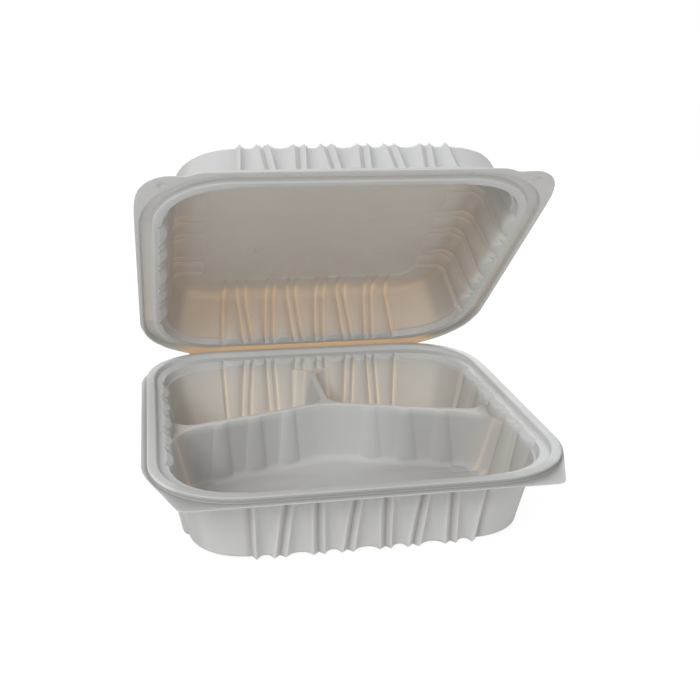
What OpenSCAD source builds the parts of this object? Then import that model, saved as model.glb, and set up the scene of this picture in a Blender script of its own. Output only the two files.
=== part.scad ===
// Hinged takeout container with three compartments, formed from one plastic sheet.
// Millimetres. X runs left to right, Y from the front edge to the hinge, Z up from the table.

/* [Body] */
// Width over the rim, side to side
rim_w = 237; // [225:1:260]
// Depth over the rim, front edge to hinge line
rim_d = 225; // [215:1:250]
// Height of the tray's rim above the table
tray_h = 45; // [36:1:52]
// Height of the lid's panel above its own rim
lid_h = 37; // [30:1:46]
// Thickness of the formed sheet
sheet = 0.5; // [0.4:0.05:0.8]
// How far the lid stands open from closed, in degrees
lid_open = 43.8; // [10:0.1:120]

/* [Rim] */
// Distance from the rim's edge to the foot of the seal bead
bead_in = 2.8; // [2.3:0.1:4]
// Width of the seal bead at its foot
bead_w = 6.8; // [6:0.1:8]
// Height of the seal bead over the rim
bead_h = 3.2; // [2:0.1:4]
// How far each side of the bead leans in over its height
bead_lean = 0.8; // [0.5:0.1:1.2]
// Gap left all round between the tray's bead and the lid's channel
fit_gap = 0.3; // [0.2:0.05:0.5]
// Length of the fold that joins the lid to the tray
hinge_len = 170; // [120:1:180]
// Thickness of the rolled fold
hinge_t = 1.2; // [0.8:0.1:1.6]
// Depth of the corner cut on the tray's front ears, along the front
ear_front = 18.6; // [10:0.1:26]
// Depth of the same cut, along the side
ear_side = 45; // [30:0.5:50]
// Depth of the hollow beside each of the lid's lifting tabs
tab_dip = 3; // [0:0.1:4]
// Rounding power of the lifting tabs, 2 is round and more is squarer
tab_power = 4.5; // [3:0.1:6]

/* [Walls] */
// Distance from the rim's edge to the top of the walls
wall_in = 13.2; // [12.5:0.1:16]
// Lean of the walls, in degrees
wall_lean = 12; // [8:0.5:15]
// Further distance from the rim's edge at the tray's back wall
tray_back = 2.6; // [0:0.1:4]
// Radius where the tray's walls turn into its floor
foot_r = 5; // [4:0.5:11]
// Radius where the lid's walls turn into its panel
crown_r = 9; // [5:0.5:11]
// Depth of the nesting step below the corners of the ledge
step_z = 4.2; // [3.2:0.1:7]
// Distance from the rim's edge to the flat panel of the floor
panel_in = 44; // [41:0.5:46]
// Rounding power of the corners, 2 is round and more is squarer
corner_power = 2.2; // [2:0.1:3]

/* [Flutes] */
// Depth of the flutes at the floor, a quarter less than at the rim
flute_d = 3; // [1.5:0.1:4]
// How far the flutes' crests slope down from the ledge
crest_z = 2.4; // [1.6:0.1:3]
// Spacing of the seven flutes on the front and back
long_pitch = 18.2; // [16.5:0.1:19]
// Width of the wider long-side flutes at the rim
long_wide = 15.2; // [13:0.1:16]
// Width of the narrower long-side flutes at the rim
long_narrow = 8.8; // [7:0.1:10]
// Spacing of the five flutes on each side
side_pitch = 24.6; // [22:0.1:25]
// Width of the wider side flutes at the rim
side_wide = 22.3; // [19:0.1:23]
// Width of the narrower side flutes at the rim
side_narrow = 13.7; // [11:0.1:15]

/* [Divider] */
// Drop from the rim to the top of the divider
ridge_drop = 8; // [5:0.5:14]
// Width of the divider's flat top
ridge_w = 3.4; // [2.6:0.1:6]
// Distance of the divider's middle behind the tray's centre
ridge_mid = 31; // [20:0.5:38]
// How far the divider's ends come forward of its middle
ridge_sweep = 28; // [18:0.5:34]
// Foot of the divider's faces, measured out from the top
ridge_foot = 10; // [7:0.5:11]
// Corner radius of the front compartment where it meets the divider
front_r = 30; // [20:0.5:36]
// Corner radius of the rear compartments
rear_r = 13; // [12:0.5:18]
// Spacing of the three flutes on each half of the divider's front face
ridge_pitch = 22; // [18:0.1:23]
// Width of those flutes at the top
ridge_flute_top = 8.4; // [6:0.1:10]
// Width of those flutes at the floor
ridge_flute_foot = 15; // [11:0.1:17]

/* [Small marks] */
// Diameter of the snap dimple on each lifting tab
dimple_d = 5; // [3:0.1:6]
// Depth of the snap dimple
dimple_h = 1.1; // [0.6:0.1:1.6]
// Diameter of the two plain rings pressed into the lid's panel
ring_d = 13; // [9:0.5:18]
// Height of those rings
ring_h = 0.5; // [0.3:0.1:0.8]

/* [Hidden] */

sheet_colour = [0.80, 0.78, 0.74];
half_w = rim_w / 2;
half_d = rim_d / 2;
rod_r = hinge_t / 2;
lid_gap = fit_gap / 2 + 0.05;
lid_back = rod_r + fit_gap;
long_run = 3 * long_pitch;
side_run = 2 * side_pitch;
corner_steps = 7;
rim_steps = 12;
lean = tan(wall_lean);
ridge_slope = ridge_sweep / 100;

function mix(a, b, f) = a + (b - a) * f;

// Corner points in polar form about the end of the two straight runs.
// A corner's shape is [rounding power, cuts, dip], a cut is [along the front, along the side]
// and a dip is [angle, depth].
function cut_term(t, a, b, cut) =
    (cos(t) * cut[1] + sin(t) * cut[0]) / (a * cut[1] + (b - cut[1]) * cut[0]);

function corner_r(t, a, b, p, cuts) =
    let (edge = pow(cos(t) / a, p) + pow(sin(t) / b, p))
    let (all = [edge, for (c = cuts) pow(cut_term(t, a, b, c), p)])
    pow([for (v = all) 1] * all, -1 / p);

function corner(cx, cy, sx, sy, a, b, shape, steps, z) =
    [for (i = [0 : steps])
        let (t = 90 * i / steps, dip = shape[2])
        let (dent = dip[1] * exp(-pow((t - dip[0]) / 6, 2)))
        let (r = corner_r(t, a, b, shape[0], shape[1]) - dent)
        [cx + sx * r * cos(t), cy + sy * r * sin(t), z]];

function backwards(list) = [for (i = [len(list) - 1 : -1 : 0]) list[i]];

// One ring of the rim, from its inset and height and the corners at the front and back.
function rim_ring(row, back_short) =
    let (e = row[0], z = row[1], front = row[2], back = row[3])
    let (x0 = long_run + long_wide / 2, y0 = side_run + side_wide / 2)
    let (a = half_w - e - x0, bf = half_d - e - y0, bb = half_d - max(e, back_short) - y0)
    concat(
        backwards(corner(x0, -y0, 1, -1, a, bf, front, rim_steps, z)),
        corner(x0, y0, 1, 1, a, bb, back, rim_steps, z),
        backwards(corner(-x0, y0, -1, 1, a, bb, back, rim_steps, z)),
        corner(-x0, -y0, -1, -1, a, bf, front, rim_steps, z)
    );

// Closed section carried round the rim.
module rim_band(rows, back_short) {
    rings = [for (row = rows) rim_ring(row, back_short)];
    n = len(rings[0]);
    m = len(rings);
    points = [for (ring = rings) each ring];
    faces = [
        for (j = [0 : m - 1])
            for (i = [0 : n - 1])
                let (k = (j + 1) % m, l = (i + 1) % n)
                each [[j * n + i, k * n + l, j * n + l], [j * n + i, k * n + i, k * n + l]]
    ];
    polyhedron(points, faces);
}

// Widths of a flute at the rim swap with its neighbours' on the way to the floor.
function flute_w(k, wide, narrow, f) =
    k % 2 == 0 ? mix(narrow, wide, f) : mix(wide, narrow, f);

// Stations along a fluted run: [place, share of the flute's depth].
function flute_run(last, pitch, wide, narrow, f, first) =
    [for (k = [-last : last])
        let (c = k * pitch, w = flute_w(abs(k) + first, wide, narrow, f))
        each concat(
            [[c - w / 2, 0], [c - w * 0.31, 0.78], [c, 1], [c + w * 0.31, 0.78], [c + w / 2, 0]],
            k == last ? [] : [[(c + w / 2
                + c + pitch - flute_w(abs(k + 1) + first, wide, narrow, f) / 2) / 2, 0.45]]
        )];

function long_stations(f) = flute_run(3, long_pitch, long_wide, long_narrow, f, 0);
function side_stations(f) = flute_run(2, side_pitch, side_wide, side_narrow, f, 1);

function wall_arc(a, b) =
    [for (i = [0 : corner_steps - 1])
        let (t = 90 * (i + 0.5) / corner_steps)
        let (r = corner_r(t, a, b, corner_power, []))
        [r * cos(t), r * sin(t)]];

// One ring of the walls: [inset, height, way down, flute depth, corner depth, flute's way, normal].
// The back wall stands further in by the value of more.
function wall_ring(row, off, more) =
    let (n = row[5], back = half_d - more)
    let (e = row[0] + off * row[6][0], z = row[1] + off * row[6][1])
    let (long = long_stations(row[2]), side = side_stations(row[2]))
    let (x0 = long[len(long) - 1][0], y0 = side[len(side) - 1][0])
    let (ec = e + row[4] * n[0], zc = z + row[4] * n[1])
    let (a = half_w - ec - x0, last = corner_steps - 1)
    let (arc_f = wall_arc(a, half_d - ec - y0), arc_b = wall_arc(a, back - ec - y0))
    concat(
        [for (s = long) [s[0], -(half_d - e - s[1] * row[3] * n[0]), z + s[1] * row[3] * n[1]]],
        [for (i = [last : -1 : 0]) [x0 + arc_f[i][0], -y0 - arc_f[i][1], zc]],
        [for (s = side) [half_w - e - s[1] * row[3] * n[0], s[0], z + s[1] * row[3] * n[1]]],
        [for (i = [0 : last]) [x0 + arc_b[i][0], y0 + arc_b[i][1], zc]],
        [for (s = long) [-s[0], back - e - s[1] * row[3] * n[0], z + s[1] * row[3] * n[1]]],
        [for (i = [last : -1 : 0]) [-x0 - arc_b[i][0], y0 + arc_b[i][1], zc]],
        [for (s = side) [-(half_w - e - s[1] * row[3] * n[0]), -s[0], z + s[1] * row[3] * n[1]]],
        [for (i = [0 : last]) [-x0 - arc_f[i][0], -y0 - arc_f[i][1], zc]]
    );

function wall_in_at(h, z) = wall_in + (h - z) * lean;

// Rows from the rim down to the floor panel, for a tub of height h whose foot has radius r.
function wall_rows(h, r) =
    let (turn_z = r * (1 - sin(wall_lean)))
    let (turn_in = wall_in_at(h, turn_z) + r * cos(wall_lean))
    let (flat = [1, 0], up = [0, 1], top_d = flute_d * 1.25)
    [
        [wall_in_at(h, h), h, 0, top_d * 0.1, flute_d * 0.4, flat, [0.6, 0.8]],
        [wall_in_at(h, h - crest_z), h - crest_z, 0.05, top_d, flute_d * 0.46, flat, [0.9, 0.5]],
        [wall_in_at(h, h - step_z), h - step_z, 0.1, top_d, flute_d * 0.5, flat, flat],
        [wall_in_at(h, h - step_z - 0.8), h - step_z - 0.8, 0.12, top_d, flute_d, flat, flat],
        for (t = [wall_lean, 40, 65])
            [turn_in - r * cos(t), r * (1 - sin(t)), mix(0.8, 1, t / 90),
                flute_d * mix(1, 0.7, t / 90), flute_d * mix(1, 0.7, t / 90), [cos(t), sin(t)], [cos(t), sin(t)]],
        [turn_in, 0, 1, flute_d * 0.6, flute_d * 0.6, up, up],
        [panel_in - 1.6, 0, 1, flute_d * 0.45, flute_d * 0.45, up, up],
        [panel_in, 0, 1, 0, 0, up, up]
    ];

// Solid bounded by the walls and floor, moved off the outer face of the sheet by off
// and carried on upwards by over.
module tub(h, r, more, off, over) {
    rows = wall_rows(h, r);
    walls = [for (row = rows) wall_ring(row, off, more)];
    lid_ring = [for (p = walls[0]) [p[0], p[1], h + over]];
    rings = over > 0 ? concat([lid_ring], walls) : walls;
    n = len(walls[0]);
    m = len(rings);
    points = concat([for (ring = rings) each ring], [[0, 0, h + over], [0, 0, off]]);
    faces = concat(
        [for (j = [0 : m - 2])
            for (i = [0 : n - 1])
                let (l = (i + 1) % n)
                each [[j * n + i, j * n + l, (j + 1) * n + l],
                    [j * n + i, (j + 1) * n + l, (j + 1) * n + i]]],
        [for (i = [0 : n - 1]) [i, m * n, (i + 1) % n]],
        [for (i = [0 : n - 1]) [(m - 1) * n + i, (m - 1) * n + (i + 1) % n, m * n + 1]]
    );
    polyhedron(points, faces);
}

// Rim section with a raised bead, the sheet lying under its upper face.
function bead_rows(z, in, w, h, front, back) =
    let (p = [corner_power, [], [0, 0]], to = wall_in + 9, u = sheet)
    [
        [0, z, front, back],
        [in, z, p, p],
        [in + bead_lean, z + h, p, p],
        [in + w - bead_lean, z + h, p, p],
        [in + w, z, p, p],
        [to, z, p, p],
        [to, z - u, p, p],
        [in + w - u, z - u, p, p],
        [in + w - bead_lean - u, z + h - u, p, p],
        [in + bead_lean + u, z + h - u, p, p],
        [in + u, z - u, p, p],
        [0, z - u, front, back]
    ];

// Corner shapes of the rim's edge: by the hinge, the tray's ears and the lid's lifting tabs.
hinge_corner = [36, [[half_w - hinge_len / 2, 24.5], [20.7, 44]], [0, 0]];
ear_corner = [36, [[ear_front, ear_side]], [0, 0]];
tab_corner = [tab_power, [], [59, tab_dip]];

// Layers of a compartment's side: [height, inset from the edge of the divider's top].
ridge_z = tray_h - ridge_drop;
face_layers = [
    [ridge_z + 0.02, -0.9],
    [ridge_z - 1.4, 0],
    [12, ridge_foot * 0.4],
    [6, ridge_foot * 0.5],
    [2.4, ridge_foot * 0.72],
    [sheet, ridge_foot]
];

function ridge_y(x) = ridge_mid - abs(x) * ridge_slope;

// Height and spread of one layer for a face moved out by off.
module disc(x, y, r, layer, off) {
    translate([x, y, layer[0] - off])
        cylinder(r = max(r - layer[1] + off, 0.6), h = 0.01, $fn = 32);
}

// Front compartment, open towards the walls.
module front_room(off) {
    side_x = half_w - wall_in - flute_d - ridge_drop * lean - front_r + 0.6;
    side_y = ridge_y(side_x) - ridge_w / 2 - front_r * sqrt(1 + ridge_slope * ridge_slope);
    mid_r = front_r * 1.6;
    hull() {
        for (layer = face_layers) {
            disc(0, ridge_mid - ridge_w / 2 - mid_r * 1.02, mid_r, layer, off);
            for (s = [-1, 1]) {
                disc(s * side_x, side_y, front_r, layer, off);
                disc(s * half_w, -half_d - front_r, front_r, layer, off);
            }
        }
    }
}

// Rear compartment on the side given by s.
module rear_room(s, off) {
    side_x = half_w - wall_in - flute_d - ridge_drop * lean - rear_r + 1;
    across = sqrt(1 + ridge_slope * ridge_slope);
    near_x = ridge_w / 2 + rear_r;
    wall_y = half_d - wall_in - tray_back - flute_d - ridge_drop * lean;
    hull() {
        for (layer = face_layers) {
            disc(s * near_x, ridge_y(near_x) + ridge_w / 2 + rear_r * across, rear_r, layer, off);
            disc(s * side_x, ridge_y(side_x) + ridge_w / 2 + rear_r * across, rear_r, layer, off);
            disc(s * near_x, wall_y - rear_r, rear_r, layer, off);
            disc(s * half_w, half_d, rear_r, layer, off);
        }
    }
}

// Flute that stands out of the divider's front face.
module ridge_flute(x, off) {
    y = ridge_y(x) - ridge_w / 2;
    top_r = ridge_flute_top / 2;
    foot_w = ridge_flute_foot / 2;
    knee_r = mix(top_r, foot_w, 0.8);
    hull() {
        translate([x, y + top_r - 1.1, ridge_z + 0.5 - off])
            cylinder(r = top_r - off, h = 0.5, $fn = 24);
        translate([x, y + knee_r - ridge_foot * 0.5 - 2.2, 5])
            cylinder(r = knee_r - off, h = 0.5, $fn = 24);
    }
    hull() {
        translate([x, y + knee_r - ridge_foot * 0.5 - 2.2, 5])
            cylinder(r = knee_r - off, h = 0.5, $fn = 24);
        translate([x, y + foot_w - ridge_foot - 0.6, -1])
            cylinder(r = foot_w - off, h = 1, $fn = 24);
    }
}

// Space above the divider together with the three compartments.
module rooms(off) {
    translate([-half_w, -half_d, ridge_z - off])
        cube([rim_w, rim_d, tray_h]);
    difference() {
        front_room(off);
        for (i = [1 : 3])
            for (s = [-1, 1])
                ridge_flute(s * (ridge_pitch * i + 4.5), off);
    }
    for (s = [-1, 1])
        rear_room(s, off);
}

module base() {
    color(sheet_colour)
        difference() {
            union() {
                rim_band(bead_rows(tray_h, bead_in, bead_w, bead_h, ear_corner, hinge_corner), 0);
                intersection() {
                    tub(tray_h, foot_r, tray_back, 0, 0);
                    rooms(sheet);
                }
                translate([-hinge_len / 2, half_d, tray_h])
                    rotate([0, 90, 0])
                        cylinder(r = rod_r, h = hinge_len, $fn = 16);
            }
            intersection() {
                tub(tray_h, foot_r, tray_back, sheet, 1);
                rooms(0);
            }
        }
}

// Low round boss, used for both faces of the snap dimples and panel rings.
module boss(x, y, z, d, h) {
    translate([x, y, z])
        hull() {
            cylinder(d = d, h = 0.02, $fn = 24);
            cylinder(d = d - 1.6 * abs(h), h = h, $fn = 24);
        }
}

// The lid as it lies closed, its rim just above the tray's.
module closed_lid() {
    rim_z = lid_gap;
    tab_x = half_w - 15;
    tab_y = -half_d + 10.5;
    channel = [bead_in - fit_gap, bead_w + 2 * fit_gap, bead_h + fit_gap - lid_gap];
    panel_z = rim_z + lid_h;
    difference() {
        union() {
            translate([0, 0, rim_z])
                rim_band(bead_rows(sheet, channel[0] - sheet, channel[1] + 2 * sheet,
                    channel[2], tab_corner, hinge_corner), lid_back);
            translate([0, 0, panel_z])
                mirror([0, 0, 1])
                    tub(lid_h, crown_r, 0, 0, 0);
            for (s = [-1, 1]) {
                boss(s * tab_x, tab_y, rim_z + sheet / 2, dimple_d + 2 * sheet, dimple_h + sheet / 2);
                boss(s * ring_d * 3.6, half_d - 82, panel_z - sheet / 2, ring_d, ring_h + sheet / 2);
            }
        }
        translate([0, 0, panel_z])
            mirror([0, 0, 1])
                tub(lid_h, crown_r, 0, sheet, 1);
        for (s = [-1, 1]) {
            boss(s * tab_x, tab_y, rim_z - 0.01, dimple_d, dimple_h);
            boss(s * ring_d * 3.6, half_d - 82, panel_z - sheet - 0.02, ring_d - 2 * sheet, ring_h);
        }
    }
}

module lid() {
    color(sheet_colour)
        translate([0, half_d, tray_h])
            rotate([-lid_open, 0, 0])
                translate([0, -half_d, 0])
                    closed_lid();
}

base();
lid();
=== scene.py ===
import math

import bpy
import numpy as np
from mathutils import Matrix, Vector


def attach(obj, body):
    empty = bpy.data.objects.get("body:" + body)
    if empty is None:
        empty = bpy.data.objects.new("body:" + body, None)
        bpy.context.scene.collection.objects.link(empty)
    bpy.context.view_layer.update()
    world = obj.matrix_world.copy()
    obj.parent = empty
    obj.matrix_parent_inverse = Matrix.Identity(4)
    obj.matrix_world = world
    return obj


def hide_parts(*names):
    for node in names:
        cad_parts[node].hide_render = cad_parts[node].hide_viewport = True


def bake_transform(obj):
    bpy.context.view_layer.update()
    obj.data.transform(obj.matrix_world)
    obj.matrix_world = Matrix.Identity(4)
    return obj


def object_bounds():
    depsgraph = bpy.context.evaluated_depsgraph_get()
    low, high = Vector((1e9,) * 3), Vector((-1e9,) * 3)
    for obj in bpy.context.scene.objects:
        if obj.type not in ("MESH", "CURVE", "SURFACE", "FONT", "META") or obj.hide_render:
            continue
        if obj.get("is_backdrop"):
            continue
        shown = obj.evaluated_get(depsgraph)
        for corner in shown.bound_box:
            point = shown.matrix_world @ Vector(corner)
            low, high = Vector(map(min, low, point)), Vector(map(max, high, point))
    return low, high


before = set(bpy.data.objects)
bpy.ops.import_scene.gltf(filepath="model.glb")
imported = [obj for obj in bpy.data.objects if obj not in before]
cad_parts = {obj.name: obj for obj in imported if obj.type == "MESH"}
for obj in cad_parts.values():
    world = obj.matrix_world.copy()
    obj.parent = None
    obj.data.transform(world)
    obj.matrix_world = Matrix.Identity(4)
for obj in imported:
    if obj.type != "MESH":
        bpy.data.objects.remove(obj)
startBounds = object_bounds()
print("frame loaded")

# Shape of the formed sheet, in millimetres. These are the part's own sizes.
sheet = {
    "rimWidth": 237.0,
    "rimDepth": 225.0,
    "trayHeight": 45.0,
    "lidHeight": 37.0,
    "thickness": 0.5,
    "lidOpen": 43.8,
    "wallInset": 13.2,
    "wallLean": 12.0,
    "trayBack": 2.6,
    "footRadius": 5.0,
    "crownRadius": 9.0,
    "stepDepth": 4.2,
    "panelInset": 44.0,
    "cornerPower": 2.2,
    "crestDrop": 2.4,
}
flutes = {
    "depth": 3.0,
    "topDepth": 3.75,
    "longPitch": 18.2,
    "longWide": 15.2,
    "longNarrow": 8.8,
    "sidePitch": 24.6,
    "sideWide": 22.3,
    "sideNarrow": 13.7,
    "spike": 0.7,
    "roundPower": 2.5,
    "edgeOut": 1.2,
    "edgeFade": 9.0,
    "columnSteps": 12,
    "gapSteps": 4,
    "cornerSteps": 30,
    "cornerRamp": 4.5,
    "wayTop": 0.12,
    "wayFoot": 0.8,
}
halfWidth = sheet["rimWidth"] / 2
halfDepth = sheet["rimDepth"] / 2
lean = math.tan(math.radians(sheet["wallLean"]))


def mix(a, b, share):
    return a + (b - a) * share


def easeInOut(t):
    t = np.clip(t, 0, 1)
    return t * t * (3 - 2 * t)


# Polar radius of a rounded corner between two straight runs, with straight cuts.
def cornerRadius(angles, a, b, power, cuts=()):
    c, s = np.cos(angles), np.sin(angles)
    total = (c / a) ** power + (s / b) ** power
    for along, side in cuts:
        total = total + ((c * side + s * along) / (a * side + (b - side) * along)) ** power
    return total ** (-1 / power)


# Places and depth shares along a fluted run. Wide and narrow change places on the way down.
def fluteStations(last, pitch, wide, narrow, way, first):
    places, shares = [], []
    turn = np.linspace(-math.pi / 2, math.pi / 2, flutes["columnSteps"] + 1)

    def width(k):
        return mix(narrow, wide, way) if (abs(k) + first) % 2 == 0 else mix(wide, narrow, way)

    for k in range(-last, last + 1):
        places.extend(k * pitch + width(k) / 2 * np.sin(turn))
        shares.extend(1 - np.abs(np.sin(turn)) ** flutes["roundPower"])
        if k < last:
            left, right = k * pitch + width(k) / 2, (k + 1) * pitch - width(k + 1) / 2
            for j in range(1, flutes["gapSteps"]):
                v = j / flutes["gapSteps"]
                places.append(mix(left, right, v))
                shares.append(flutes["spike"] * (1 - abs(2 * v - 1)))
    return np.array(places), np.array(shares)


# One closed ring of a fluted wall.
# A row is (inset, height, way down, flute depth, corner depth, flute's way, normal).
def wallRing(row, offset, backMore, fall):
    inset, height, way, fluteDepth, cornerDepth, (out, up), (faceOut, faceUp) = row
    e, z = inset + offset * faceOut, height + offset * faceUp
    front, back = halfDepth, halfDepth - backMore
    long, longShare = fluteStations(3, flutes["longPitch"], flutes["longWide"], flutes["longNarrow"], way, 0)
    side, sideShare = fluteStations(2, flutes["sidePitch"], flutes["sideWide"], flutes["sideNarrow"], way, 1)
    outwards = flutes["edgeOut"] * float(1 - easeInOut(fall / flutes["edgeFade"]))
    longMove = longShare * fluteDepth - outwards * (1 - longShare) ** 3
    sideMove = sideShare * fluteDepth - outwards * (1 - sideShare) ** 3
    x0, y0 = long[-1], side[-1]
    steps = flutes["cornerSteps"]
    degrees = 90 * (np.arange(steps) + 0.5) / steps
    t = np.radians(degrees)
    ramp = easeInOut(np.minimum(degrees, 90 - degrees) / flutes["cornerRamp"])
    deep = ramp * cornerDepth
    ec, zc = e + deep * out, z + deep * up

    def arc(run):
        r = cornerRadius(t, halfWidth - ec - x0, run - ec - y0, sheet["cornerPower"])
        return x0 + r * np.cos(t), y0 + r * np.sin(t)

    fx, fy = arc(front)
    bx, by = arc(back)
    longOut, longUp = longMove * out, z + longMove * up
    sideOut, sideUp = sideMove * out, z + sideMove * up
    parts = [
        (long, -(front - e - longOut), longUp),
        (fx[::-1], -fy[::-1], zc[::-1]),
        (halfWidth - e - sideOut, side, sideUp),
        (bx, by, zc),
        (-long, back - e - longOut, longUp),
        (-bx[::-1], by[::-1], zc[::-1]),
        (-(halfWidth - e - sideOut), -side, sideUp),
        (-fx, -fy, zc),
    ]
    return np.vstack([np.stack([x, y, z], 1) for x, y, z in parts])


# Rows of a tub's wall from its top edge down to the flat panel.
def wallRows(height, radius):
    top, step, depth = height, sheet["stepDepth"], flutes["depth"]
    turnZ = radius * (1 - math.sin(math.radians(sheet["wallLean"])))

    def insetAt(z):
        return sheet["wallInset"] + (top - z) * lean

    rows = []
    crest = sheet["crestDrop"]
    # Drop from the ledge, and the crests' reach as a share of their greatest depth.
    crestRows = [(0, 0.0), (0.1, 0.02), (0.3, 0.1), (0.7, 0.27), (1.2, 0.49), (1.7, 0.71), (2.1, 0.885),
                 (2.4, 0.965), (2.75, 1.0)]
    # Drop from the ledge, and the corners' reach as a share of their greatest depth.
    stepRows = [(step - 0.6, 0.5), (step - 0.1, 0.54), (step + 0.1, 0.66), (step + 0.3, 0.92),
                (step + 0.5, 0.99), (step + 1.3, 1.0)]
    wayTop, wayFoot, low = flutes["wayTop"], flutes["wayFoot"], top - turnZ
    for drop, reach in crestRows:
        soft = 0.45 * (1 - math.sqrt(1 - (1 - drop / 0.5) ** 2)) if drop < 0.5 else 0.0
        facing = (0.6, 0.8) if drop < crest - 0.5 else (0.9, 0.4)
        rows.append((insetAt(top - drop) - soft, top - drop, wayTop * drop / (step + 0.8),
                     flutes["topDepth"] * reach, depth * (0.42 + 0.1 * drop / step), (1.0, 0.0), facing))
    for drop, corner in stepRows + [(drop, 1.0) for drop in np.linspace(step + 1.3, low, 9)[1:-1]]:
        down = max(0.0, (drop - step - 0.8) / (low - step - 0.8))
        way = mix(wayTop, wayFoot, down) if down > 0 else wayTop * drop / (step + 0.8)
        rows.append((insetAt(top - drop), top - drop, way, mix(flutes["topDepth"], depth, down),
                     depth * corner, (1.0, 0.0), (1.0, 0.0)))
    turnIn = insetAt(turnZ) + radius * math.cos(math.radians(sheet["wallLean"]))
    for degrees in np.linspace(sheet["wallLean"], 90, 9):
        a = math.radians(degrees)
        share = depth * mix(1, 0.6, degrees / 90)
        facing = (math.cos(a), math.sin(a))
        rows.append((turnIn - radius * math.cos(a), radius * (1 - math.sin(a)), mix(wayFoot, 1, degrees / 90),
                     share, share, facing, facing))
    edge = sheet["panelInset"]
    for inset, share in ((mix(turnIn, edge, 0.5), 0.52), (edge - 2.2, 0.45), (edge - 1.5, 0.43),
                         (edge - 0.9, 0.3), (edge - 0.4, 0.08), (edge, 0.0)):
        if inset > turnIn + 0.2:
            rows.append((inset, 0.0, 1.0, depth * share, depth * share, (0.0, 1.0), (0.0, 1.0)))
    return rows


# Faces between rings of one count, with a middle point closing each end.
def loftFaces(rings, count, firstCap, lastCap):
    faces = []
    for j in range(rings - 1):
        for i in range(count):
            k = (i + 1) % count
            faces.append((j * count + i, (j + 1) * count + i, (j + 1) * count + k, j * count + k))
    for i in range(count):
        k = (i + 1) % count
        faces.append((i, k, firstCap))
        faces.append(((rings - 1) * count + k, (rings - 1) * count + i, lastCap))
    return faces


def newObject(name, points, faces):
    mesh = bpy.data.meshes.new(name)
    mesh.from_pydata([tuple(p) for p in np.asarray(points) / 1000], [], faces)
    mesh.update()
    made = bpy.data.objects.new(name, mesh)
    bpy.context.scene.collection.objects.link(made)
    return made


# Solid through closed rings given from the top down, each counterclockwise from above.
def loft(name, rings):
    count = len(rings[0])
    points = np.vstack(rings + [rings[0].mean(0)[None], rings[-1].mean(0)[None]])
    return newObject(name, points, loftFaces(len(rings), count, len(points) - 2, len(points) - 1))


def tub(name, height, radius, backMore, offset, over):
    rings = [wallRing(row, offset, backMore, height - row[1]) for row in wallRows(height, radius)]
    if over > 0:
        above = rings[0].copy()
        above[:, 2] = height + over
        rings.insert(0, above)
    return loft(name, rings)


# Boolean of target with each other solid, which is then removed.
def combine(target, operation, *others):
    for other in others:
        step = target.modifiers.new("step", "BOOLEAN")
        step.solver = "MANIFOLD"
        step.operation = operation
        step.object = other
        bpy.context.view_layer.update()
        made = bpy.data.meshes.new_from_object(target.evaluated_get(bpy.context.evaluated_depsgraph_get()))
        target.modifiers.clear()
        old = target.data
        target.data = made
        bpy.data.meshes.remove(old)
        bpy.data.objects.remove(other)
    if len(target.data.polygons) < 100:
        raise RuntimeError(target.name + " came out empty")
    return target


# Rim: flange, seal bead and ledge carried round as one closed section.
rim = {
    "beadInset": 2.8,
    "beadWidth": 6.8,
    "beadHeight": 3.2,
    "beadLean": 0.8,
    "undercut": 1.2,
    "waist": 0.68,
    "fitGap": 0.3,
    "foldLength": 170.0,
    "foldThickness": 1.2,
    "earFront": 18.6,
    "earSide": 45.0,
    "tabDip": 3.0,
    "tabPower": 4.5,
    "cornerSteps": 64,
    "topRound": 0.9,
    "footRound": 0.6,
}
foldHalf = rim["foldLength"] / 2
plainCorner = (sheet["cornerPower"], (), (0, 0))
hingeCorner = (36, ((halfWidth - foldHalf, 24.5), (20.7, 44)), (0, 0))
earCorner = (36, ((rim["earFront"], rim["earSide"]),), (0, 0))
tabCorner = (rim["tabPower"], (), (59, rim["tabDip"]))


def rimRing(inset, z, front, back, backShort):
    x0 = 3 * flutes["longPitch"] + flutes["longWide"] / 2
    y0 = 2 * flutes["sidePitch"] + flutes["sideWide"] / 2
    steps = rim["cornerSteps"]
    degrees = np.linspace(0, 90, steps + 1)
    t = np.radians(degrees)

    def arc(shape, run):
        power, cuts, (middle, dip) = shape
        r = cornerRadius(t, halfWidth - inset - x0, run - y0, power, cuts)
        r = r - dip * np.exp(-((degrees - middle) / 6) ** 2)
        return x0 + r * np.cos(t), y0 + r * np.sin(t)

    fx, fy = arc(front, halfDepth - inset)
    bx, by = arc(back, halfDepth - max(inset, backShort))
    x = np.concatenate([fx[::-1], bx, -bx[::-1], -fx])
    y = np.concatenate([-fy[::-1], by, by[::-1], -fy])
    return np.stack([x, y, np.full(len(x), z)], 1)


# Open polyline with each inner corner replaced by an arc-like curve of the given size.
def rounded(points, radii, steps=5):
    out = [points[0]]
    for before, corner, after, radius in zip(points, points[1:], points[2:], radii[1:]):
        if radius <= 0:
            out.append(corner)
            continue
        b, c, a = np.array(before), np.array(corner), np.array(after)
        start = c + (b - c) / np.linalg.norm(b - c) * min(radius, np.linalg.norm(b - c) * 0.48)
        end = c + (a - c) / np.linalg.norm(a - c) * min(radius, np.linalg.norm(a - c) * 0.48)
        for s in np.linspace(0, 1, steps):
            out.append(tuple((1 - s) ** 2 * start + 2 * s * (1 - s) * c + s * s * end))
    out.append(points[-1])
    return out


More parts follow.
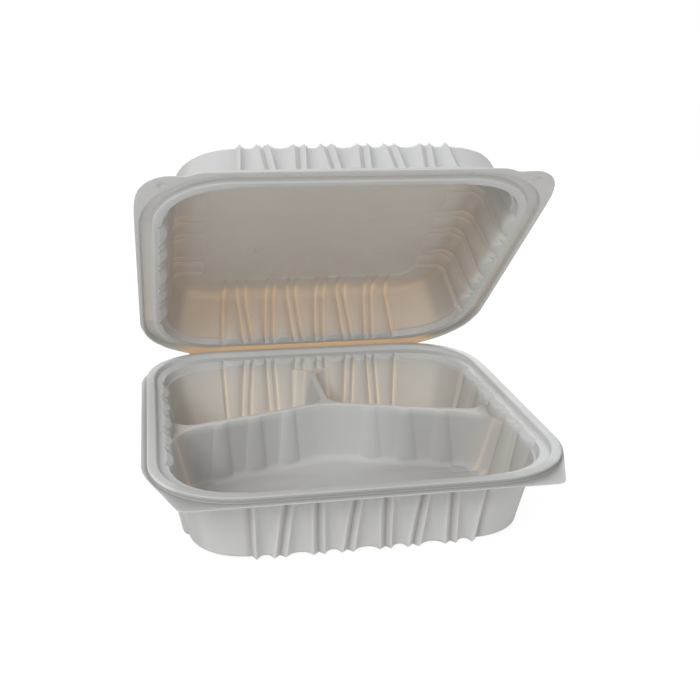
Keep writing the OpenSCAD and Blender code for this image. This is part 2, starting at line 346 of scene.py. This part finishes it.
# The bead's outer side leans in towards its foot by undercut, from a waist two thirds of the way up.
def rimSolid(name, z, inset, width, height, front, back, backShort, undercut):
    u, slope = sheet["thickness"], rim["beadLean"]
    far = sheet["wallInset"] + 9
    top, foot = rim["topRound"], rim["footRound"]
    waistIn, waistUp = inset + slope * rim["waist"], height * rim["waist"]
    upper = [(inset + undercut - 0.8, z), (inset + undercut, z), (waistIn, z + waistUp),
             (inset + slope, z + height), (inset + width - slope, z + height), (inset + width, z), (far, z)]
    lower = [(far, z - u), (inset + width - u, z - u), (inset + width - slope - u, z + height - u),
             (inset + slope + u, z + height - u), (waistIn + u, z + waistUp - u), (inset + undercut + u, z - u),
             (inset + undercut - 0.6, z - u)]
    if inset + undercut < 1.3:
        raise RuntimeError("the bead is too near the rim's edge")
    section = rounded(upper, [0, foot, top, top, top, foot])
    section += rounded(lower, [0, foot, top - 0.3, top - 0.3, top - 0.3, foot])
    rows = [(0.0, z - 0.1, front, back), (0.1, z, front, back)]
    rows += [(e, h, plainCorner, plainCorner) for e, h in section]
    rows += [(0.1, z - u, front, back), (0.0, z - u + 0.1, front, back)]
    rings = [rimRing(e, h, f, b, backShort) for e, h, f, b in rows]
    count, total = len(rings[0]), len(rings)
    faces = []
    for j in range(total):
        k = (j + 1) % total
        for i in range(count):
            m = (i + 1) % count
            faces.append((j * count + i, j * count + m, k * count + m, k * count + i))
    made = newObject(name, np.vstack(rings), faces)
    made.data.flip_normals()
    return made


# Divider: three pockets cut down from a flat ridge, the front one with columns on its face.
divider = {
    "drop": 8.0,
    "width": 3.4,
    "middle": 31.0,
    "sweep": 28.0,
    "lean": 9.6,
    "topRound": 1.3,
    "footRound": 5.5,
    "frontRadius": 30.0,
    "rearRadius": 13.0,
    "columnPitch": 22.0,
    "columnShift": 4.5,
    "columnTop": 8.4,
    "columnFoot": 15.0,
    "columnOutTop": 0.9,
    "columnOutFoot": 1.9,
    "columnApart": 0.2,
    "columnPower": 2.3,
    "columnHead": 3.0,
    "columnSteps": 14,
    "gapSteps": 4,
}
ridgeZ = sheet["trayHeight"] - divider["drop"]
ridgeSlope = divider["sweep"] / 100


def ridgeY(x):
    return divider["middle"] - abs(x) * ridgeSlope


# Way in from the ridge's edge and height, from the ridge's top down to the floor.
def pocketProfile():
    tilt, top, foot = math.radians(divider["lean"]), divider["topRound"], divider["footRound"]
    floor = sheet["thickness"]
    rows = []
    for a in np.linspace(90, divider["lean"], 8):
        a = math.radians(a)
        rows.append((top * (math.cos(a) - 1) + 0.35, ridgeZ - top * (1 - math.sin(a))))
    lastIn, lastZ = rows[-1]
    startZ = floor + foot * (1 - math.sin(tilt))
    startIn = lastIn + (lastZ - startZ) * math.tan(tilt)
    for s in np.linspace(0, 1, 9)[1:]:
        rows.append((mix(lastIn, startIn, s), mix(lastZ, startZ, s)))
    centreIn = startIn + foot * math.cos(tilt)
    for a in np.linspace(divider["lean"], 90, 10)[1:]:
        a = math.radians(a)
        rows.append((centreIn - foot * math.cos(a), floor + foot * (1 - math.sin(a))))
    return [(rows[0][0] - 0.4, ridgeZ + 0.05)] + rows + [(rows[-1][0] + 0.5, floor - 0.25)]


# Outline round discs in counterclockwise order: centres, radii, normals and edge numbers at its points.
def ringPlan(discs, arcSteps, edgeSteps):
    centre, radius, normal, edge = [], [], [], []
    count = len(discs)
    tangents = []
    for i in range(count):
        (x1, y1, r1), (x2, y2, r2) = discs[i], discs[(i + 1) % count]
        away = math.atan2(y2 - y1, x2 - x1)
        tangents.append(away - math.pi / 2 + math.asin((r1 - r2) / math.hypot(x2 - x1, y2 - y1)))
    for i in range(count):
        start, end = tangents[i - 1], tangents[i]
        while end < start - 1e-9:
            end += 2 * math.pi
        x, y, r = discs[i]
        for a in np.linspace(start, end, arcSteps[i] + 1):
            centre.append((x, y))
            radius.append(r)
            normal.append((math.cos(a), math.sin(a)))
            edge.append(-1)
        x2, y2, r2 = discs[(i + 1) % count]
        for s in edgeSteps[i]:
            centre.append((mix(x, x2, s), mix(y, y2, s)))
            radius.append(mix(r, r2, s))
            normal.append((math.cos(end), math.sin(end)))
            edge.append(i)
    return np.array(centre), np.array(radius), np.array(normal), np.array(edge)


def frontPocket(name, offset):
    side = divider["frontRadius"]
    reach = halfWidth - sheet["wallInset"] - flutes["depth"] - divider["drop"] * lean - side + 0.6
    sideY = ridgeY(reach) - divider["width"] / 2 - side * math.hypot(1, ridgeSlope)
    middle = side * 1.6
    discs = [(halfWidth, -halfDepth - side, side), (reach, sideY, side),
             (0, divider["middle"] - divider["width"] / 2 - middle * 1.02, middle), (-reach, sideY, side),
             (-halfWidth, -halfDepth - side, side)]
    columnSteps, gapSteps = divider["columnSteps"], divider["gapSteps"]
    turn = np.linspace(-math.pi / 2, math.pi / 2, columnSteps + 1)
    middles = [divider["columnPitch"] * i + divider["columnShift"] for i in (1, 2, 3)]
    edgePoints = 3 * (columnSteps + 1) + 4 * gapSteps - 2
    edgeSteps = [[0.5], [0.5] * edgePoints, [0.5] * edgePoints, [0.5], [0.5]]
    centre, radius, normal, edge = ringPlan(discs, [4, 44, 20, 44, 4], edgeSteps)
    onRight, onLeft = edge == 1, edge == 2
    (x1, y1, r1), (x2, y2, r2) = discs[1], discs[2]
    nx, ny = normal[onRight][0]
    rings = []
    for wayIn, z in pocketProfile():
        fall = np.clip((ridgeZ - z) / ridgeZ, 0, 1)
        widthNow = mix(divider["columnTop"], divider["columnFoot"], fall ** 1.2)
        outNow = mix(divider["columnOutTop"], divider["columnOutFoot"], fall)
        if z < 6:
            outNow *= mix(0.12, 1, easeInOut((z - sheet["thickness"]) / 5.5) if z > sheet["thickness"] else 0)
        head = min(1, (ridgeZ - z) / divider["columnHead"])
        headRound = math.sqrt(max(0.0, 1 - (1 - head) ** 2)) if z < ridgeZ else 0.0
        outNow *= mix(0.25, 1, headRound)
        inward = radius - wayIn + offset
        startX = x1 + (r1 - wayIn + offset) * nx
        endX = x2 + (r2 - wayIn + offset) * nx
        places, bulge = [], []
        last = startX
        for m in middles[::-1]:
            low = m - widthNow / 2
            high = min(m + widthNow / 2, last - divider["columnApart"])
            steps = gapSteps + 1 if last == startX else gapSteps + 2
            for s in np.linspace(0, 1, steps)[1:-1]:
                places.append(mix(last, high, s))
                bulge.append(0.0)
            for a in turn[::-1]:
                places.append(mix(low, high, 0.5 + 0.5 * math.sin(a)))
                bulge.append((1 - abs(math.sin(a)) ** divider["columnPower"]) * outNow)
            last = low
        for s in np.linspace(0, 1, gapSteps + 2)[1:-1]:
            places.append(mix(last, endX, s))
            bulge.append(0.0)
        places, bulge = np.array(places[:edgePoints]), np.array(bulge[:edgePoints])
        s = (places - startX) / (endX - startX)
        xy = centre + inward[:, None] * normal
        base = np.stack([mix(x1, x2, s), mix(y1, y2, s)], 1)
        reachNow = mix(r1, r2, s) - wayIn + offset - bulge
        right = base + reachNow[:, None] * np.array([[nx, ny]])
        xy[onRight] = right
        xy[onLeft] = (right * np.array([[-1, 1]]))[::-1]
        rings.append(np.column_stack([xy, np.full(len(xy), z - offset)]))
    return loft(name, rings)


def rearPocket(name, sign, offset):
    r = divider["rearRadius"]
    reach = halfWidth - sheet["wallInset"] - flutes["depth"] - divider["drop"] * lean - r + 1
    across = math.hypot(1, ridgeSlope)
    near = divider["width"] / 2 + r
    wallY = halfDepth - sheet["wallInset"] - sheet["trayBack"] - flutes["depth"] - divider["drop"] * lean
    discs = [(near, ridgeY(near) + divider["width"] / 2 + r * across, r),
             (reach, ridgeY(reach) + divider["width"] / 2 + r * across, r),
             (halfWidth, halfDepth, r), (near, wallY - r, r)]
    centre, radius, normal, _ = ringPlan(discs, [24, 30, 6, 24], [np.linspace(0, 1, 8)[1:-1]] * 4)
    rings = []
    for wayIn, z in pocketProfile():
        inward = np.maximum(radius - wayIn + offset, 0.6)
        xy = centre + inward[:, None] * normal
        xy = xy * np.array([[sign, 1]])
        if sign < 0:
            xy = xy[::-1]
        rings.append(np.column_stack([xy, np.full(len(xy), z - offset)]))
    return loft(name, rings)


def spaceAbove(name, offset):
    w, d, low, high = halfWidth + 4, halfDepth + 4, ridgeZ - offset, sheet["trayHeight"] + 12
    ring = np.array([(-w, -d), (w, -d), (w, d), (-w, d)])
    return loft(name, [np.column_stack([ring, np.full(4, z)]) for z in (high, low)])


def pockets(offset):
    space = spaceAbove("space", offset)
    return combine(space, "UNION", frontPocket("front", offset), rearPocket("left", -1, offset),
                   rearPocket("right", 1, offset))


def finishMesh(obj, angle=34):
    mesh = obj.data
    mesh.shade_smooth()
    mesh.set_sharp_from_angle(angle=math.radians(angle))
    print(obj.name, "triangles", sum(len(p.vertices) - 2 for p in mesh.polygons))
    return obj


# How much light the formed sheet lets through: least in the rim, more in the drawn walls,
# most at the flutes' edges. The painted highlight and painted shade values lighten and darken its colour where
# light and shade fall.
thinness = {
    "tray": {
        "rim": 0.05,
        "frontWall": 0.2,
        "wall": 0.32,
        "sideWall": 0.26,
        "edge": 0.48,
        "inner": 0.16,
        "foldSide": 0.05,
        # Strengths of the painted shade, then of the painted highlight.
        "beadPaintedShade": 1.0,
        "rimPaintedShade": 0.3,
        "innerPaintedShade": 0.4,
        "sidePaintedShade": 0.3,
        "groovePaintedShade": 0.6,
        "frontPaintedHighlight": 0.5,
        "ridgePaintedHighlight": 0.3,
    },
    "lid": {
        "rim": 0.16,
        "frontWall": 0.10,
        "wall": 0.38,
        "sideWall": 0.27,
        "edge": 0.48,
        "inner": 0.23,
        "foldSide": 0.6,
        # Strengths of the painted shade, then of the painted highlight.
        "beadPaintedShade": 0.0,
        "rimPaintedShade": 0.0,
        "innerPaintedShade": 0.0,
        "sidePaintedShade": 0.35,
        "groovePaintedShade": 0.15,
        "frontPaintedHighlight": 0.1,
        "ridgePaintedHighlight": 0.0,
    },
    "fold": 0.5,
    "edgeReach": 1.0,
    "grooveReach": 1.4,
    "ridgeReach": 1.3,
    "beadSide": 3.0,
    "beadSideReach": 1.3,
    # Inset range of the band of painted shade on the front rim, under the bead.
    "bandStart": 0.3,
    "bandEnd": 3.8,
    "bandSoft": 0.6,
    "bandMore": 2.2,
    "frontEnd": 15,
    "frontSoft": 90,
}


# 1 at the edges of the flutes along one run, falling to 0 between them.
def edgeCloseness(place, way, last, pitch, wide, narrow, first, reach):
    close = np.zeros(len(place))
    for k in range(-last, last + 1):
        width = mix(narrow, wide, way) if (abs(k) + first) % 2 == 0 else mix(wide, narrow, way)
        for side in (-0.5, 0.5):
            close = np.maximum(close, np.exp(-((place - k * pitch - side * width) / reach) ** 2))
    return close


# Store how much light each point lets through, and its painted highlight and painted shade.
# toTub puts a point in the tub's frame, open side up.
def markThinness(obj, toTub, height, shares):
    mesh = obj.data
    points = np.array([toTub @ v.co for v in mesh.vertices]) * 1000
    x, y, drop = points[:, 0], points[:, 1], height - points[:, 2]
    alongX, alongY = halfWidth - np.abs(x), halfDepth - np.abs(y)
    way = np.clip(mix(flutes["wayTop"], flutes["wayFoot"], (drop - 5) / (height - 12)), 0, 1)
    pitch, wide, narrow = flutes["longPitch"], flutes["longWide"], flutes["longNarrow"]
    longEdge = edgeCloseness(x, way, 3, pitch, wide, narrow, 0, thinness["edgeReach"])
    gap = pitch - (wide + narrow) / 2
    groove = edgeCloseness(x, way, 3, pitch, wide + gap, narrow + gap, 0, thinness["grooveReach"])
    pitch, wide, narrow = flutes["sidePitch"], flutes["sideWide"], flutes["sideNarrow"]
    sideEdge = edgeCloseness(y, way, 2, pitch, wide, narrow, 1, thinness["edgeReach"])
    edge = np.where(alongY < alongX, longEdge, sideEdge)
    x0 = 3 * flutes["longPitch"] + flutes["longWide"] / 2
    y0 = 2 * flutes["sidePitch"] + flutes["sideWide"] / 2
    cornerX = np.maximum(np.abs(x) - x0, 0.01)
    cornerY = np.maximum(np.abs(y) - y0, 0.01)
    angles = np.arctan2(cornerY, cornerX)
    reach = cornerRadius(angles, halfWidth - x0, halfDepth - y0, sheet["cornerPower"])
    inCorner = (np.abs(x) > x0) & (np.abs(y) > y0)
    inset = np.where(inCorner, reach - np.hypot(cornerX, cornerY), np.minimum(alongX, alongY))
    inner = easeInOut((inset - sheet["wallInset"] - drop * lean - 6) / 8)
    backward = easeInOut((y + halfDepth - thinness["frontEnd"]) / thinness["frontSoft"])
    onSide = easeInOut((alongY - alongX + 4) / 14)
    wall = mix(shares["frontWall"], mix(shares["wall"], shares["sideWall"], onSide), backward)
    share = mix(wall, wall * shares["edge"] / shares["wall"], edge * backward)
    share = mix(share, shares["inner"], inner)
    rimShare = mix(shares["rim"], shares["foldSide"], easeInOut((y - halfDepth + 13) / 8))
    share = mix(rimShare, share, easeInOut((drop - 1.5) / 5.0))
    # Painted highlight: paler colour along the flutes' edges and on the divider's ridge top.
    paintedHighlight = edge * (1 - inner) * easeInOut((drop - 1) / 3) * mix(shares["frontPaintedHighlight"], 1, backward)
    ridge = np.exp(-((drop - divider["drop"]) / thinness["ridgeReach"]) ** 2)
    paintedHighlight = paintedHighlight + shares["ridgePaintedHighlight"] * inner * ridge
    # Painted shade: darker colour on the bead's outer side, in a band along the front rim, in the front wall's
    # grooves, on the divider's faces away from the middle and on the side walls.
    side = np.exp(-((inset - thinness["beadSide"]) / thinness["beadSideReach"]) ** 2)
    paintedShade = side * easeInOut((2.6 + drop) / 1.5) * shares["beadPaintedShade"]
    rimFront = shares["rimPaintedShade"] * (1 - backward) * (1 - onSide)
    soft = thinness["bandSoft"]
    bandStart = easeInOut((inset - thinness["bandStart"]) / soft)
    band = bandStart * easeInOut((thinness["bandEnd"] - inset) / soft) * thinness["bandMore"]
    paintedShade = np.maximum(paintedShade, rimFront * (1 + band) * easeInOut((10.5 - inset) / 2))
    paintedShade = paintedShade * easeInOut((1.2 - drop) / 0.4)
    paintedShade = paintedShade + shares["groovePaintedShade"] * groove * (1 - backward) * (1 - inner) * easeInOut((drop - 2) / 3)
    paintedShade = paintedShade + shares["innerPaintedShade"] * inner * easeInOut((np.abs(x) - 18) / 40) * easeInOut((drop - 9) / 3)
    paintedShade = paintedShade + shares["sidePaintedShade"] * (1 - inner) * onSide * easeInOut((drop - 3) / 4)
    for name, values in (("thin", share), ("paintedHighlight", paintedHighlight), ("paintedShade", paintedShade)):
        layer = mesh.attributes.new(name, "FLOAT", "POINT")
        layer.data.foreach_set("value", values.astype(np.float32))


def makeTray():
    height, foot, back, u = sheet["trayHeight"], sheet["footRadius"], sheet["trayBack"], sheet["thickness"]
    outer = combine(tub("outer", height, foot, back, 0, 0), "INTERSECT", pockets(u))
    inner = combine(tub("inner", height, foot, back, u, 1), "INTERSECT", pockets(0))
    tray = rimSolid("trayShell", height, rim["beadInset"], rim["beadWidth"], rim["beadHeight"], earCorner,
                    hingeCorner, 0, rim["undercut"])
    tray = combine(tray, "UNION", outer)
    tray = combine(tray, "DIFFERENCE", inner)
    markThinness(tray, Matrix.Identity(4), height, thinness["tray"])
    return finishMesh(tray)


tray = makeTray()
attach(tray, "tray")
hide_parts("base")
print("tray made")

# Lid: the same walls upside down, with a channel over the bead, two pressed rings and two snap dimples.
lidMarks = {
    "ringWidth": 13.0,
    "ringHeight": 0.5,
    "ringApart": 93.6,
    "ringFromBack": 82.0,
    "dimpleWidth": 5.0,
    "dimpleHeight": 1.1,
    "dimpleSide": 15.0,
    "dimpleFront": 10.5,
}


# Low round boss lofted from its crown down to its foot.
def boss(name, x, y, z, width, height, domed):
    turn = np.linspace(0, 2 * math.pi, 41)[:-1]
    xs, ys = np.cos(turn), np.sin(turn)
    rows = []
    for a in np.linspace(90, 0, 7):
        a = math.radians(a)
        radius = width / 2 * (math.cos(a) * 0.96 + 0.04 if domed else 1 - 0.16 * (1 - math.cos(a)))
        rows.append((radius, height * math.sin(a)))
    rows.append((width / 2, -0.02))
    return loft(name, [np.column_stack([x + r * xs, y + r * ys, np.full(40, z + h)]) for r, h in rows])


def mirrored(obj, z):
    obj.data.transform(Matrix.Translation((0, 0, z / 1000)) @ Matrix.Diagonal((1, 1, -1, 1)))
    obj.data.flip_normals()
    return obj


def makeLid():
    u, gap, height, crown = sheet["thickness"], rim["fitGap"], sheet["lidHeight"], sheet["crownRadius"]
    rimZ = gap / 2 + 0.05
    panelZ = rimZ + height
    lid = rimSolid("lidShell", rimZ + u, rim["beadInset"] - gap - u, rim["beadWidth"] + 2 * gap + 2 * u,
                   rim["beadHeight"] + gap - rimZ, tabCorner, hingeCorner, rim["foldThickness"] / 2 + gap, 0)
    lid = combine(lid, "UNION", mirrored(tub("dome", height, crown, 0, 0, 0), panelZ))
    marks = lidMarks
    for side in (-1, 1):
        tabX, tabY = side * (halfWidth - marks["dimpleSide"]), -halfDepth + marks["dimpleFront"]
        ringX, ringY = side * marks["ringApart"] / 2, halfDepth - marks["ringFromBack"]
        lid = combine(lid, "UNION",
                      boss("dimple", tabX, tabY, rimZ + u / 2, marks["dimpleWidth"] + 2 * u,
                           marks["dimpleHeight"] + u / 2, True),
                      boss("mark", ringX, ringY, panelZ - u / 2, marks["ringWidth"],
                           marks["ringHeight"] + u / 2, False))
    lid = combine(lid, "DIFFERENCE", mirrored(tub("hollow", height, crown, 0, u, 1), panelZ))
    for side in (-1, 1):
        tabX, tabY = side * (halfWidth - marks["dimpleSide"]), -halfDepth + marks["dimpleFront"]
        ringX, ringY = side * marks["ringApart"] / 2, halfDepth - marks["ringFromBack"]
        lid = combine(lid, "DIFFERENCE",
                      boss("dimple", tabX, tabY, rimZ - 0.01, marks["dimpleWidth"],
                           marks["dimpleHeight"], True),
                      boss("mark", ringX, ringY, panelZ - u - 0.02, marks["ringWidth"] - 2 * u,
                           marks["ringHeight"], False))
    turnOpen = (Matrix.Translation((0, halfDepth / 1000, sheet["trayHeight"] / 1000))
                @ Matrix.Rotation(math.radians(-sheet["lidOpen"]), 4, "X")
                @ Matrix.Translation((0, -halfDepth / 1000, 0)))
    toTub = Matrix.Translation((0, 0, panelZ / 1000)) @ Matrix.Diagonal((1, 1, -1, 1))
    markThinness(lid, toTub, height, thinness["lid"])
    lid.data.transform(turnOpen)
    return finishMesh(lid)


lid = makeLid()
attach(lid, "cover")
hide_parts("lid")
print("lid made")


# Fold: the thin strip that joins the two flanges, curved for the lid's set opening.
fold = {
    "thickness": 0.4,
    "bulge": 0.62,
    "lap": 1.7,
    "steps": 14,
    "rings": 9,
    "lidGap": 0.2,
    "sag": 0.35,
}


def makeFold():
    opening = math.radians(sheet["lidOpen"])
    along = np.array([-math.cos(opening), math.sin(opening)])
    away = np.array([math.sin(opening), math.cos(opening)])
    hinge = np.array([halfDepth, sheet["trayHeight"]])
    lidMiddle = fold["lidGap"] + sheet["thickness"] / 2
    start = hinge + np.array([-fold["lap"], -sheet["thickness"] / 2])
    end = hinge + along * fold["lap"] + away * lidMiddle
    outwards = np.array([1.0, fold["sag"]]) / math.hypot(1.0, fold["sag"])
    middle = hinge + outwards * fold["bulge"] * 1.5
    path = []
    for s in np.linspace(0, 1, fold["steps"] + 1):
        path.append((1 - s) ** 2 * start + 2 * s * (1 - s) * middle + s * s * end)
    path = np.array(path)
    heading = np.gradient(path, axis=0)
    normals = np.stack([heading[:, 1], -heading[:, 0]], 1) / np.linalg.norm(heading, axis=1)[:, None]
    half = fold["thickness"] / 2
    section = np.vstack([path + normals * half, (path - normals * half)[::-1]])
    rings = []
    for x in np.linspace(-foldHalf, foldHalf, fold["rings"]):
        rings.append(np.column_stack([np.full(len(section), x), section]))
    made = loft("foldStrip", rings)
    layer = made.data.attributes.new("thin", "FLOAT", "POINT")
    layer.data.foreach_set("value", np.full(len(made.data.vertices), thinness["fold"], np.float32))
    finishMesh(made, 50)
    (end[0] - along[0] * 0.9) / 1000
    (end[1] - along[1] * 0.9) / 1000
    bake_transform(made)
    return made


foldStrip = makeFold()
print("fold made")


# Shader maths on node sockets.
class Wire:
    def __init__(self, tree, socket):
        self.tree, self.socket = tree, socket

    def node(self, kind, settings=None, inputs=None, output=0):
        made = self.tree.nodes.new(kind)
        for key, value in (settings or {}).items():
            setattr(made, key, value)
        for key, value in (inputs or {}).items():
            put(self.tree, made.inputs[key], value)
        return Wire(self.tree, made.outputs[output] if made.outputs else None)

    def math(self, operation, *values):
        return self.node("ShaderNodeMath", {"operation": operation}, dict(enumerate(values)))

    def __add__(self, other):
        return self.math("ADD", self, other)

    def __radd__(self, other):
        return self.math("ADD", other, self)

    def __mul__(self, other):
        return self.math("MULTIPLY", self, other)

    def __rmul__(self, other):
        return self.math("MULTIPLY", other, self)

    def ramp(self, low, high):
        return self.node("ShaderNodeMapRange", {"interpolation_type": "SMOOTHSTEP"},
                         {"Value": self, "From Min": low, "From Max": high})

    def noise(self, scale, detail=2.0, roughness=0.5):
        return self.node("ShaderNodeTexNoise", None,
                         {"Vector": self, "Scale": scale, "Detail": detail, "Roughness": roughness}, "Fac")


def put(tree, socket, value):
    if isinstance(value, Wire):
        tree.links.new(value.socket, socket)
    else:
        socket.default_value = value


def blendColours(share, first, second):
    return share.node("ShaderNodeMix", {"data_type": "RGBA"}, {0: share, 6: first, 7: second}, 2)


# Filled polypropylene: matte, slightly see-through to light, with a fine grain and sparse specks.
plastic = {
    "colour": (0.665, 0.685, 0.69, 1),
    "dusk": (0.625, 0.635, 0.63, 1),
    "speck": (0.36, 0.32, 0.27, 1),
    # Colour and share of the painted highlight.
    "paintedHighlight": (0.90, 0.88, 0.84, 1),
    "paintedHighlightShare": 0.75,
    # Colour of the painted shade.
    "paintedShade": (0.33, 0.325, 0.31, 1),
    "trayThrough": (0.95, 0.84, 0.71, 1),
    "lidThrough": (0.90, 0.72, 0.52, 1),
    "roughness": 0.5,
    "specular": 0.35,
    "grainScale": 900.0,
    "grainHeight": 0.00004,
}


def sheetMaterial(name, passing):
    material = bpy.data.materials.new(name)
    material.use_nodes = True
    tree = material.node_tree
    tree.nodes.clear()
    start = Wire(tree, None)
    place = start.node("ShaderNodeTexCoord", output="Object")
    cloud = place.noise(22.0, 3.0).ramp(0.35, 0.68)
    fine = place.noise(420.0, 2.0).ramp(0.3, 0.75)
    cells = place.node("ShaderNodeTexVoronoi", {"feature": "F1"}, {"Vector": place, "Scale": 260.0}, "Distance")
    spots = cells.ramp(0.16, 0.06)
    rare = place.noise(75.0, 1.0).ramp(0.56, 0.66)
    colour = blendColours(cloud * 0.5 + fine * 0.22, plastic["colour"], plastic["dusk"])
    colour = blendColours(spots * rare * 0.35, colour, plastic["speck"])
    names = ("thin", "paintedHighlight", "paintedShade")
    marks = [start.node("ShaderNodeAttribute", {"attribute_name": name}, None, "Fac") for name in names]
    thin, paintedHighlight, paintedShade = marks
    # Painted highlight, then painted shade, mixed into the colour from the point attributes.
    colour = blendColours(paintedHighlight * plastic["paintedHighlightShare"], colour, plastic["paintedHighlight"])
    colour = blendColours(paintedShade, colour, plastic["paintedShade"])
    rough = cloud * 0.08 + (plastic["roughness"] - 0.04)
    grain = place.noise(plastic["grainScale"], 3.0, 0.6)
    wave = place.noise(60.0, 2.0)
    bump = start.node("ShaderNodeBump", None, {
        "Height": grain + wave * 1.5, "Strength": 0.35, "Distance": plastic["grainHeight"]})
    body = start.node("ShaderNodeBsdfPrincipled", None, {
        "Base Color": colour, "Roughness": rough, "Normal": bump, "Specular IOR Level": plastic["specular"]})
    through = start.node("ShaderNodeBsdfTranslucent", None, {"Color": passing, "Normal": bump})
    both = start.node("ShaderNodeMixShader", None, {0: thin, 1: body, 2: through})
    start.node("ShaderNodeOutputMaterial", None, {"Surface": both})
    return material


trayLook = sheetMaterial("trayPlastic", plastic["trayThrough"])
lidLook = sheetMaterial("lidPlastic", plastic["lidThrough"])
for piece, look in ((tray, trayLook), (lid, lidLook), (foldStrip, lidLook)):
    piece.data.materials.clear()
    piece.data.materials.append(look)
print("material made")

# Studio: white surroundings for the camera, soft light from above and from behind.
studio = {
    "worldStrength": 0.58,
    "keySize": 0.7,
    "keyPower": 11.5,
    "keyPlace": (-0.8, -1.0, 1.0),
    "backSize": 1.0,
    "backPower": 9.5,
    "backPlace": (0.3, 1.35, 0.65),
    "floorColour": (0.92, 0.92, 0.92, 1),
    "floorGlow": 0.86,
    "floorWhite": 1.07,
    "floorReach": 3000,
    "floorHeight": -0.2,
}


def areaLight(name, place, aim, size, power, colour):
    data = bpy.data.lights.new(name, "AREA")
    data.shape, data.size, data.energy, data.color = "DISK", size, power, colour
    lamp = bpy.data.objects.new(name, data)
    lamp.location = place
    lamp.rotation_euler = (Vector(aim) - Vector(place)).to_track_quat("-Z", "Y").to_euler()
    bpy.context.scene.collection.objects.link(lamp)


# 1 for rays from the camera and those mirrored or passed on to it.
def seenDirectly(start):
    names = ("Is Camera Ray", "Is Glossy Ray", "Is Transmission Ray")
    paths = [start.node("ShaderNodeLightPath", output=name) for name in names]
    return paths[0].math("MAXIMUM", paths[0], paths[1].math("MAXIMUM", paths[1], paths[2]))


def makeStudio():
    world = bpy.data.worlds.new("studio")
    world.use_nodes = True
    tree = world.node_tree
    tree.nodes.clear()
    start = Wire(tree, None)
    strength = seenDirectly(start) * (1 - studio["worldStrength"]) + studio["worldStrength"]
    light = start.node("ShaderNodeBackground", None, {"Color": (1, 1, 1, 1), "Strength": strength})
    start.node("ShaderNodeOutputWorld", None, {"Surface": light})
    bpy.context.scene.world = world
    reach, low = studio["floorReach"], studio["floorHeight"]
    corners = [(-reach, -reach, low), (reach, -reach, low), (reach, reach, low), (-reach, reach, low)]
    floor = newObject("floor", corners, [(0, 1, 2, 3)])
    material = bpy.data.materials.new("paleFloor")
    material.use_nodes = True
    tree = material.node_tree
    tree.nodes.clear()
    start = Wire(tree, None)
    plain = start.node("ShaderNodeBsdfDiffuse", None, {"Color": studio["floorColour"]})
    glow = start.node("ShaderNodeEmission", None, {"Color": (1, 1, 1, 1), "Strength": studio["floorWhite"]})
    share = seenDirectly(start) * studio["floorGlow"]
    both = start.node("ShaderNodeMixShader", None, {0: share, 1: plain, 2: glow})
    start.node("ShaderNodeOutputMaterial", None, {"Surface": both})
    floor.data.materials.append(material)
    floor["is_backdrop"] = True
    aim = (0, 0, 0.06)
    areaLight("keyLamp", studio["keyPlace"], aim, studio["keySize"], studio["keyPower"], (1.0, 0.99, 0.98))
    areaLight("backLamp", studio["backPlace"], aim, studio["backSize"], studio["backPower"], (0.97, 0.99, 1.0))


makeStudio()

# Camera from the fit to the photo: place in millimetres from the tray's centre at rim height,
# angles in degrees.
lens = {
    "place": (-109.1, -529.5, 228.6),
    "yaw": 10.36,
    "pitch": 13.12,
    "roll": 0.76,
    "focalPixels": 936.7,
    "middlePixels": (318.8, 247.2),
    "imagePixels": 700,
}


def makeCamera():
    yaw, pitch, roll = (math.radians(lens[k]) for k in ("yaw", "pitch", "roll"))
    ahead = Vector((math.sin(yaw) * math.cos(pitch), math.cos(yaw) * math.cos(pitch), -math.sin(pitch)))
    right = Vector((math.cos(yaw), -math.sin(yaw), 0))
    up = right.cross(ahead)
    turnedRight = right * math.cos(roll) + up * math.sin(roll)
    turnedUp = up * math.cos(roll) - right * math.sin(roll)
    data = bpy.data.cameras.new("photoCamera")
    data.sensor_width = 36
    data.lens = lens["focalPixels"] / lens["imagePixels"] * 36
    half = lens["imagePixels"] / 2
    data.shift_x = (half - lens["middlePixels"][0]) / lens["imagePixels"]
    data.shift_y = (lens["middlePixels"][1] - half) / lens["imagePixels"]
    data.clip_start, data.clip_end = 0.01, 50
    camera = bpy.data.objects.new("photoCamera", data)
    x, y, z = lens["place"]
    turn = Matrix((turnedRight, turnedUp, -ahead)).transposed().to_4x4()
    camera.matrix_world = Matrix.Translation((x / 1000, y / 1000, (z + sheet["trayHeight"]) / 1000)) @ turn
    bpy.context.scene.collection.objects.link(camera)
    bpy.context.scene.camera = camera


makeCamera()
bpy.context.scene.view_settings.view_transform = "Standard"
print("studio and camera made")


def plainLists(value):
    if isinstance(value, dict):
        return {str(k): plainLists(v) for k, v in value.items()}
    if isinstance(value, (list, tuple, Vector)):
        return [plainLists(v) for v in value]
    return float(value) if isinstance(value, (int, float)) else value


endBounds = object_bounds()
{"frame": plainLists(startBounds), "visual": plainLists(endBounds)}
